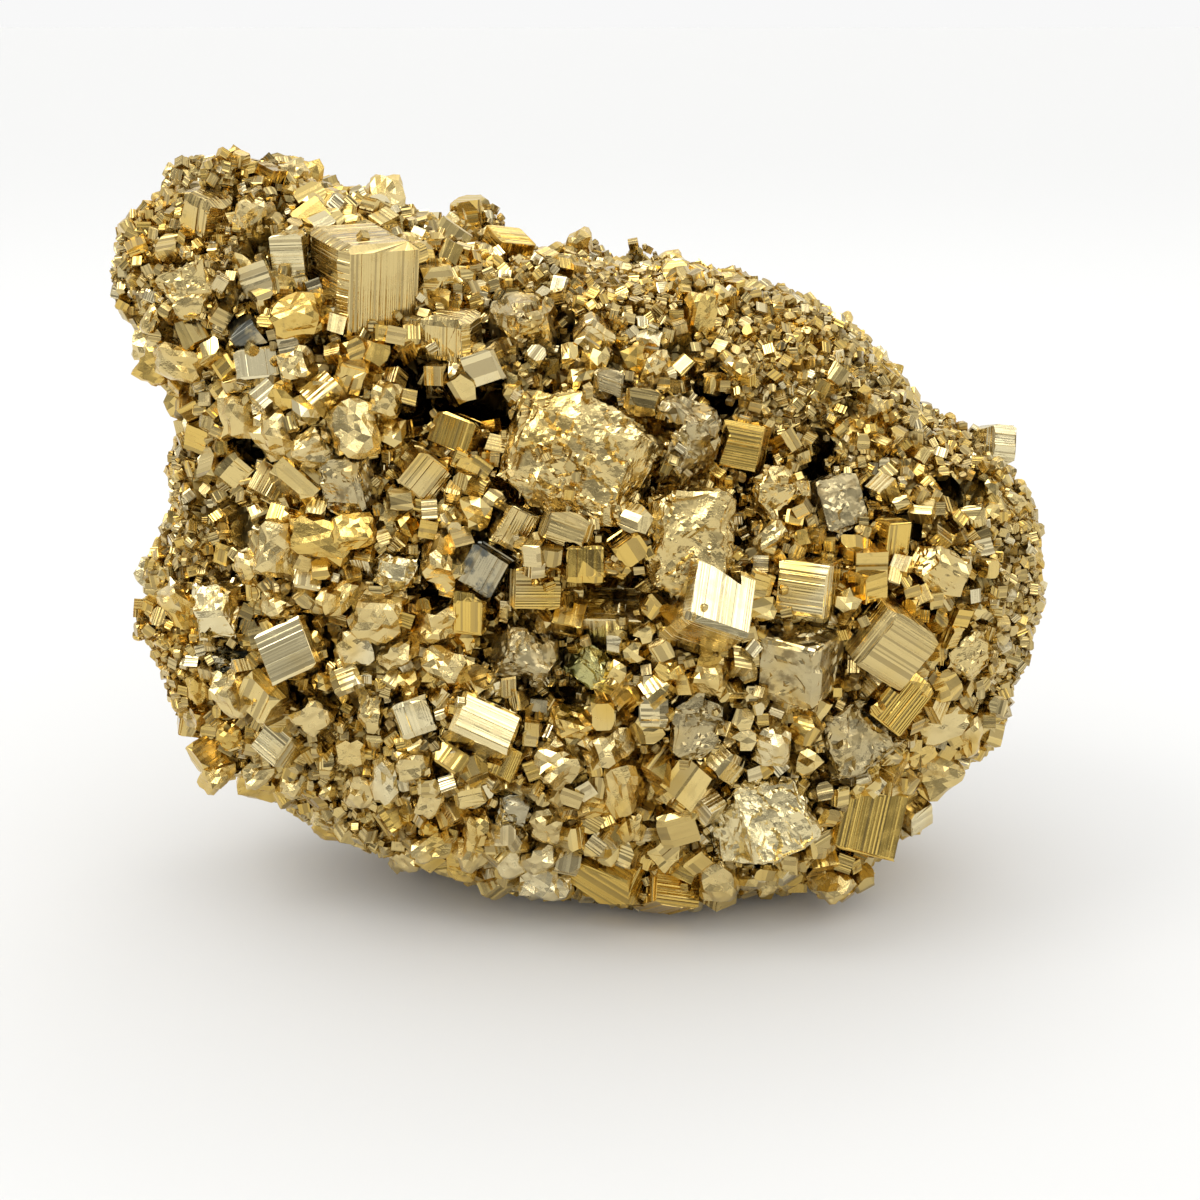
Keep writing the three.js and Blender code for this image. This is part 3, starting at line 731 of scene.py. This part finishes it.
def scatter_tree():
    tree = bpy.data.node_groups.new("druse_scatter", "GeometryNodeTree")
    for name, kind in (
        ("Geometry", "NodeSocketGeometry"), ("Seeds", "NodeSocketCollection"), ("Large", "NodeSocketObject"),
        ("Spacing", "NodeSocketFloat"), ("Least Size", "NodeSocketFloat"), ("Most Size", "NodeSocketFloat"),
        ("Proud", "NodeSocketFloat"), ("Clearance", "NodeSocketFloat"), ("Random Seed", "NodeSocketInt"),
        ("Metal", "NodeSocketMaterial"),
    ):
        tree.interface.new_socket(name=name, in_out="INPUT", socket_type=kind)
    tree.interface.new_socket(name="Geometry", in_out="OUTPUT", socket_type="NodeSocketGeometry")
    given = tree.nodes.new("NodeGroupInput").outputs
    out = tree.nodes.new("NodeGroupOutput")

    def named(attribute):
        read = node(tree, "GeometryNodeInputNamedAttribute", {"Name": attribute}, data_type="FLOAT")
        return read.outputs["Attribute"]

    def chance(low, high, offset, data_type="FLOAT"):
        """A random value for each point, with an offset of its own so that no two of them agree."""
        made = node(tree, "FunctionNodeRandomValue", data_type=data_type)
        live = {socket.name: socket for socket in made.inputs if socket.enabled}
        for socket, value in (("Min", low), ("Max", high)):
            if isinstance(value, bpy.types.NodeSocket):
                tree.links.new(value, live[socket])
            else:
                live[socket].default_value = value
        tree.links.new(math_value(tree, "ADD", given["Random Seed"], offset), live["Seed"])
        return next(socket for socket in made.outputs if socket.enabled)

    points = node(tree, "GeometryNodeDistributePointsOnFaces", distribute_method="POISSON")
    tree.links.new(given["Geometry"], points.inputs["Mesh"])
    tree.links.new(given["Spacing"], points.inputs["Distance Min"])
    tree.links.new(given["Random Seed"], points.inputs["Seed"])
    points.inputs["Density Max"].default_value = MOST_DENSE
    tree.links.new(named("cover"), points.inputs["Density Factor"])

    size = math_value(tree, "MULTIPLY", chance(given["Least Size"], given["Most Size"], 1), named("grain"))
    lift = node(tree, "ShaderNodeVectorMath", {0: points.outputs["Normal"]}, operation="SCALE")
    tree.links.new(math_value(tree, "MULTIPLY", size, given["Proud"]), lift.inputs["Scale"])
    sized = node(tree, "GeometryNodeStoreNamedAttribute", data_type="FLOAT", domain="POINT")
    sized.inputs["Name"].default_value = "size"
    tree.links.new(points.outputs["Points"], sized.inputs["Geometry"])
    tree.links.new(size, sized.inputs["Value"])
    lifted = node(tree, "GeometryNodeSetPosition")
    tree.links.new(sized.outputs["Geometry"], lifted.inputs["Geometry"])
    tree.links.new(lift.outputs["Vector"], lifted.inputs["Offset"])

    target = node(tree, "GeometryNodeObjectInfo", transform_space="ORIGINAL")
    tree.links.new(given["Large"], target.inputs["Object"])
    near = node(tree, "GeometryNodeProximity", target_element="FACES")
    tree.links.new(target.outputs["Geometry"], near.inputs[0])
    room = math_value(tree, "MULTIPLY", math_value(tree, "MULTIPLY", named("size"), MM), given["Clearance"])
    too_near = math_value(tree, "LESS_THAN", near.outputs["Distance"], room)
    height = node(tree, "ShaderNodeSeparateXYZ", {0: node(tree, "GeometryNodeInputPosition").outputs[0]})
    footing = math_value(tree, "MULTIPLY", named("size"), FOOTING * MM)
    too_low = math_value(tree, "LESS_THAN", height.outputs["Z"], footing)
    culled = node(tree, "GeometryNodeDeleteGeometry", domain="POINT")
    tree.links.new(lifted.outputs["Geometry"], culled.inputs["Geometry"])
    tree.links.new(math_value(tree, "MAXIMUM", too_near, too_low), culled.inputs["Selection"])

    seeds = node(tree, "GeometryNodeCollectionInfo")
    seeds.inputs["Separate Children"].default_value = True
    tree.links.new(given["Seeds"], seeds.inputs["Collection"])
    grown = node(tree, "GeometryNodeInstanceOnPoints")
    grown.inputs["Pick Instance"].default_value = True
    tree.links.new(culled.outputs["Geometry"], grown.inputs["Points"])
    tree.links.new(seeds.outputs["Instances"], grown.inputs["Instance"])
    tree.links.new(chance(0, SEED_PICKS, 2, "INT"), grown.inputs["Instance Index"])
    tree.links.new(chance((0, 0, 0), (math.tau,) * 3, 3, "FLOAT_VECTOR"), grown.inputs["Rotation"])
    tree.links.new(named("size"), grown.inputs["Scale"])
    toned = node(tree, "GeometryNodeStoreNamedAttribute", data_type="FLOAT", domain="INSTANCE")
    toned.inputs["Name"].default_value = "tone"
    tree.links.new(grown.outputs["Instances"], toned.inputs["Geometry"])
    tree.links.new(chance(0.0, 1.0, 4), toned.inputs["Value"])
    real = node(tree, "GeometryNodeRealizeInstances", {"Geometry": toned.outputs["Geometry"]})
    metal = node(tree, "GeometryNodeSetMaterial", {"Geometry": real.outputs["Geometry"]})
    tree.links.new(given["Metal"], metal.inputs["Material"])
    tree.links.new(metal.outputs["Geometry"], out.inputs["Geometry"])
    return tree


def set_inputs(modifier, values):
    items = modifier.node_group.interface.items_tree
    sockets = {item.name: item.identifier for item in items if item.in_out == "INPUT"}
    for name, value in values.items():
        modifier[sockets[name]] = value


# ---- The mass: a rough body under the scatter ----
VOXEL = 0.8 * MM
BODY_LAYERS = [(3.0 * MM, 0.4, 0.8 * MM), (1.3 * MM, 0.4, 0.35 * MM)]


def mass_mesh():
    source = bpy.data.objects.new("mass_source", to_mesh(merged_copy(MASS), "mass_source"))
    bpy.context.scene.collection.objects.link(source)
    remesh = source.modifiers.new("remesh", "REMESH")
    remesh.mode = "VOXEL"
    remesh.voxel_size = VOXEL
    graph = bpy.context.evaluated_depsgraph_get()
    mesh = bpy.data.meshes.new_from_object(source.evaluated_get(graph))
    bpy.data.objects.remove(source)
    return mesh


def mesh_points(mesh):
    flat = np.empty(len(mesh.vertices) * 3)
    mesh.vertices.foreach_get("co", flat)
    return flat.reshape(-1, 3)


HALF_WIDTH = cad_box[1][0]
HEIGHT = cad_box[1][2]
# Where the crystals are finer: x as a share of the half width, then z and radius as shares of the height.
FINE_PATCHES = [
    (0.49, 0.76, 0.18), (0.80, 0.65, 0.11), (0.95, 0.48, 0.12), (0.97, 0.33, 0.10),
    (-0.83, 0.96, 0.11), (-0.94, 0.83, 0.08), (-0.85, 0.54, 0.10), (-0.90, 0.35, 0.08),
    (-0.52, 0.10, 0.10), (-0.14, 0.91, 0.09), (0.09, 0.85, 0.08),
]
FINE_CORE = 1.3  # the middle of a patch is wholly fine
BEHIND = 8 * MM  # the back is partly fine from here on
BEHIND_FADE = 14 * MM
FINE_BEHIND = 0.6


def fineness(points):
    """0 where the crystals are coarse and 1 where they are fine: round the rim, and partly so behind."""
    x, y, z = points.T
    fine = np.zeros(len(points))
    for across, up, radius in FINE_PATCHES:
        away = (x - across * HALF_WIDTH) ** 2 + (z - up * HEIGHT) ** 2
        fine = np.maximum(fine, np.exp(-away / (radius * HEIGHT) ** 2))
    behind = np.clip((y - BEHIND) / BEHIND_FADE, 0, 1)
    return np.maximum(np.clip(fine * FINE_CORE, 0, 1), FINE_BEHIND * behind)


OPEN_RAYS = 14
CLEFT_REACH = 7 * MM  # a wall nearer than this shades a point
RAY_START = 0.5  # mm off the surface
RAY_LEAN = 1.3  # how much the rays lean outwards
SHADED = 0.5  # a point is in a cleft if less than this share of its rays is clear
RIM = 1.1 * MM  # crystals keep this far from a cleft's mouth
RIM_LIFT = 0.15
SEAT_REACH = 0.9 * MM  # the mass is this near a large crystal where it holds it
# How open a place is where the painted shade of a cleft ends and where crystals begin, and how soft each
# edge is.
SHADE_BELOW = 0.45
SHADE_FADE = 0.25
BARE_BELOW = 0.4
BARE_FADE = 0.3
CLEFT_WIDENING = 0.4 * MM
PIT_DEPTH = 1.6 * MM
PIT_SHADE = 0.7
PIT_PLACES = 420
PIT_LOW = 0.25  # only the rare share of pits is kept below this share of the height
PIT_FADE = 0.3  # and all of them from this much higher
RARE = 0.12
PIT_DRIFT = 1.6  # mm from one lobe of a pit to the next
PIT_RADII = (0.9, 1.7)  # mm
MASS_TONE = 0.4
PIT_SEED, OPEN_SEED, BODY_SEED = 17, 3, 5
# How lumpy the mass is between its large crystals: size of the lumps and how far they swell.
LUMPS = [(9 * MM, 1.7 * MM), (4 * MM, 0.9 * MM)]
LUMP_CLEARANCE = 5 * MM  # nearer than this to a large crystal, or to the base, the lumps fade out


def swell(points, from_large):
    """How far each point of the mass swells or sinks, so that it is lumpy between its large crystals."""
    height = np.zeros(len(points))
    for size, rise in LUMPS:
        height += [rise * noise.noise(Vector(point) / size) for point in points]
    return height * np.clip(np.minimum(from_large, points[:, 2]) / LUMP_CLEARANCE, 0, 1)


def pit_mask(points):
    """1 in the small pits between crystals, which are dug in and given painted shade, and 0 outside them, in
    places picked all over the mass.
    """
    rng = random.Random(PIT_SEED)
    tree = KDTree(len(points))
    for index, point in enumerate(points):
        tree.insert(point, index)
    tree.balance()
    hollow = np.zeros(len(points))
    for _ in range(PIT_PLACES):
        middle = points[rng.randrange(len(points))]
        if rng.random() > max(RARE, min(1, (middle[2] / HEIGHT - PIT_LOW) / PIT_FADE)):
            continue
        for lobe in range(rng.choice((1, 2, 3))):
            drift = Vector([rng.uniform(-PIT_DRIFT, PIT_DRIFT) * MM for _ in range(3)]) * lobe
            for _, near, _ in tree.find_range(Vector(middle) + drift, rng.uniform(*PIT_RADII) * MM):
                hollow[near] = 1
    return hollow


def solid_of(meshes):
    """All of the meshes as one search tree."""
    bm = bmesh.new()
    for mesh in meshes:
        bm.from_mesh(mesh)
    tree = BVHTree.FromBMesh(bm)
    bm.free()
    return tree


def depth_inside(points, solid):
    """How far each point lies inside the solid, and less than nothing outside it."""
    depth = np.empty(len(points))
    for index, point in enumerate(points):
        place, normal, _, distance = solid.find_nearest(point)
        depth[index] = -distance if (Vector(point) - place).dot(normal) > 0 else distance
    return depth


def openness(points, normals):
    """0 deep in a cleft and 1 in the open: the share of ways out of each point that no wall blocks."""
    solid = solid_of([NODES[MASS].data])
    rng = random.Random(OPEN_SEED)
    ways = [Vector([rng.gauss(0, 1) for _ in range(3)]).normalized() for _ in range(OPEN_RAYS)]
    share = np.empty(len(points))
    for index, (point, normal) in enumerate(zip(points, normals)):
        out = Vector(normal)
        start = Vector(point) + out * RAY_START * MM
        rays = [(out * RAY_LEAN + way).normalized() for way in ways]
        clear = sum(solid.ray_cast(start, ray, CLEFT_REACH)[0] is None for ray in rays)
        share[index] = clear / OPEN_RAYS
    return share


def least_near(points, values, radius):
    """For each point the lowest shaded value within the radius, lifted a little, or its own if lower."""
    tree = KDTree(len(points))
    for index, point in enumerate(points):
        tree.insert(point, index)
    tree.balance()
    spread = values.copy()
    for index in np.flatnonzero(values < SHADED):
        for _, near, _ in tree.find_range(points[index], radius):
            spread[near] = min(spread[near], values[index] + RIM_LIFT)
    return spread


def store(mesh, name, values):
    attribute = mesh.attributes.get(name) or mesh.attributes.new(name, "FLOAT", "POINT")
    attribute.data.foreach_set("value", values)


body = mass_mesh()
carrier_points = mesh_points(body)
body_normals = np.array([vert.normal[:] for vert in body.vertices])
large_solid = solid_of([NODES[name].data for name in NODES if name != MASS])
from_large = -depth_inside(carrier_points, large_solid)
seated = from_large < SEAT_REACH
carrier_open = openness(carrier_points, body_normals)
carrier_points += body_normals * swell(carrier_points, from_large)[:, None]
body.vertices.foreach_set("co", carrier_points.ravel())
carrier = body.copy()
carrier_fineness = fineness(carrier_points)
carrier_open[seated] = 1.0
# painted shade: the less open the mass is, the darker it is painted, down to near black deep in the clefts
deep = np.clip((SHADE_BELOW - carrier_open) / SHADE_FADE, 0, 1)
carrier_open = least_near(carrier_points, carrier_open, RIM)
carrier_open = np.clip((carrier_open - BARE_BELOW) / BARE_FADE, 0, 1)
facets = facet_heights(carrier_points, random.Random(BODY_SEED), BODY_LAYERS)
hollow = pit_mask(carrier_points)
facets -= PIT_DEPTH * hollow + CLEFT_WIDENING * (1 - carrier_open)
carrier_open *= 1 - hollow
rough_points = carrier_points + body_normals * facets[:, None]
rough_points[:, 2] = np.maximum(rough_points[:, 2], 0)
body.vertices.foreach_set("co", rough_points.ravel())
# the painted shade of the clefts, and of the pits at PIT_SHADE strength
store(body, "deep", np.maximum(deep, PIT_SHADE * hollow))
body_piece = finish_piece("mass_body", body, SHADED_MASS_METAL, MASS_TONE)
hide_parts(MASS)


def joined(meshes, name):
    bm = bmesh.new()
    for mesh in meshes:
        bm.from_mesh(mesh)
    return to_mesh(bm, name)


SCATTER = scatter_tree()
# Each layer's seeds and metal; then spacing, least size and most size in mm, and as shares of a crystal's
# size how far its middle stands out and how far it stays clear of larger crystals.
# After that, how much of the mass it covers where the crystals are coarse and where they are fine.
LAYERS = {
    "druse_lumps": ((LUMP_SEEDS, LUMP_METAL, 5.0, 4.4, 7.6, 0.05, 0.34), 1.0, 0.3),
    "druse_coarse": ((LINED_SEEDS, DRUSE_METAL, 3.8, 3.8, 5.8, -0.02, 0.36), 1.0, 0.1),
    "druse_medium": ((LINED_SEEDS, DRUSE_METAL, 2.5, 2.7, 4.3, 0.02, 0.28), 1.0, 0.15),
    "druse_small": ((PLAIN_SEEDS, SMALL_METAL, 1.5, 1.6, 2.6, 0.1, 0.2), 1.0, 1.0),
    "druse_fine": ((PLAIN_SEEDS, FINE_SHADED_METAL, 0.9, 0.8, 1.5, 0.2, 0.15), 0.35, 1.0),
}
ON_LARGE = (PLAIN_SEEDS, SMALL_METAL, 1.2, 0.7, 1.4, 0.1, 0.0)
GRAIN_WHERE_FINE = 0.62  # the share of their size that crystals have where the mass is wholly fine
RIM_SHARE = {"druse_lumps": 0.3, "druse_coarse": 0.1, "druse_medium": 0.5}  # what still grows round the rim
# The rim is where the surface faces neither front nor back: how much of the normal is along y, and its fade.
RIM_FACING = 0.5
RIM_FADE = 0.2
HIDDEN_DEPTH = 0.3 * MM  # nothing grows on the mass deeper than this inside a larger crystal
FRONT_REACH = 6 * MM  # the front's layers reach this far back
FRONT_SEED, BACK_SEED, ON_LARGE_SEED = 10, 20, 40


def grow(name, carrier_mesh, layer, seed, cover, grain, obstacle):
    """One layer of crystals over a carrier, clear of the larger crystals that grew before it."""
    seeds, metal, spacing, least, most, proud, clearance = layer
    mesh = carrier_mesh.copy()
    store(mesh, "cover", cover)
    store(mesh, "grain", grain)
    source = bpy.data.objects.new("scatter_source", mesh)
    bpy.context.scene.collection.objects.link(source)
    modifier = source.modifiers.new("scatter", "NODES")
    modifier.node_group = SCATTER
    set_inputs(modifier, {
        "Seeds": seeds, "Large": bpy.data.objects.new("obstacle", obstacle), "Spacing": spacing * MM,
        "Least Size": least, "Most Size": most, "Proud": proud * MM, "Clearance": clearance,
        "Random Seed": seed, "Metal": metal,
    })
    graph = bpy.context.evaluated_depsgraph_get()
    made = bpy.data.meshes.new_from_object(source.evaluated_get(graph))
    bpy.data.objects.remove(source)
    return finish_piece(name, made, metal).data


off_rim = np.clip((np.abs(body_normals[:, 1]) - RIM_FACING) / RIM_FADE, 0, 1)


def grow_side(side, shown, seed):
    """Every layer on one side of the mass, from the coarsest to the finest."""
    grown = [NODES[name].data for name in NODES if name != MASS]
    grain = 1 - (1 - GRAIN_WHERE_FINE) * carrier_fineness
    for number, (name, (layer, coarse_cover, fine_cover)) in enumerate(LAYERS.items()):
        bare = depth_inside(carrier_points, solid_of(grown)) < HIDDEN_DEPTH
        cover = coarse_cover + (fine_cover - coarse_cover) * carrier_fineness
        cover = cover * shown * carrier_open * bare
        cover = cover * np.maximum(off_rim, RIM_SHARE.get(name, 1.0))
        obstacle = joined(grown, "larger_crystals")
        grown.append(grow(f"{name}_{side}", carrier, layer, seed + number, cover, grain, obstacle))


facing = carrier_points[:, 1] < FRONT_REACH
grow_side("front", facing, FRONT_SEED)
grow_side("back", ~facing, BACK_SEED)


# ---- Small crystals that grow on the large ones, round their feet ----
CARRIER_EDGE = 1.5 * MM
CARRIER_ROUNDS = 4
FOOT_REACH = 1.3 * MM
FOOT_FULL = 1.2  # above 1, so that the cover is whole close to the mass
PATCH_WAVE = 0.9  # per mm
PATCH_SHIFT = 2


def large_carrier():
    bm = bmesh.new()
    bm.from_mesh(joined([NODES[name].data for name in NODES if name != MASS], "large_carrier"))
    bmesh.ops.remove_doubles(bm, verts=bm.verts, dist=MERGE)
    for _ in range(CARRIER_ROUNDS):
        long = [edge for edge in bm.edges if edge.calc_length() > CARRIER_EDGE]
        bmesh.ops.subdivide_edges(bm, edges=long, cuts=1)
        bmesh.ops.triangulate(bm, faces=bm.faces[:])
    return to_mesh(bm, "large_carrier")


on_large = large_carrier()
on_large_points = mesh_points(on_large)
from_mass = -depth_inside(on_large_points, solid_of([NODES[MASS].data]))
foot_share = np.clip(FOOT_FULL - from_mass / FOOT_REACH, 0, 1)
patches = np.sin(on_large_points / MM * PATCH_WAVE + PATCH_SHIFT).prod(1)
on_large_cover = foot_share * (patches > 0)
no_obstacle = bpy.data.meshes.new("no_obstacle")
full_grain = np.ones(len(on_large_points))
grow("druse_on_large", on_large, ON_LARGE, ON_LARGE_SEED, on_large_cover, full_grain, no_obstacle)
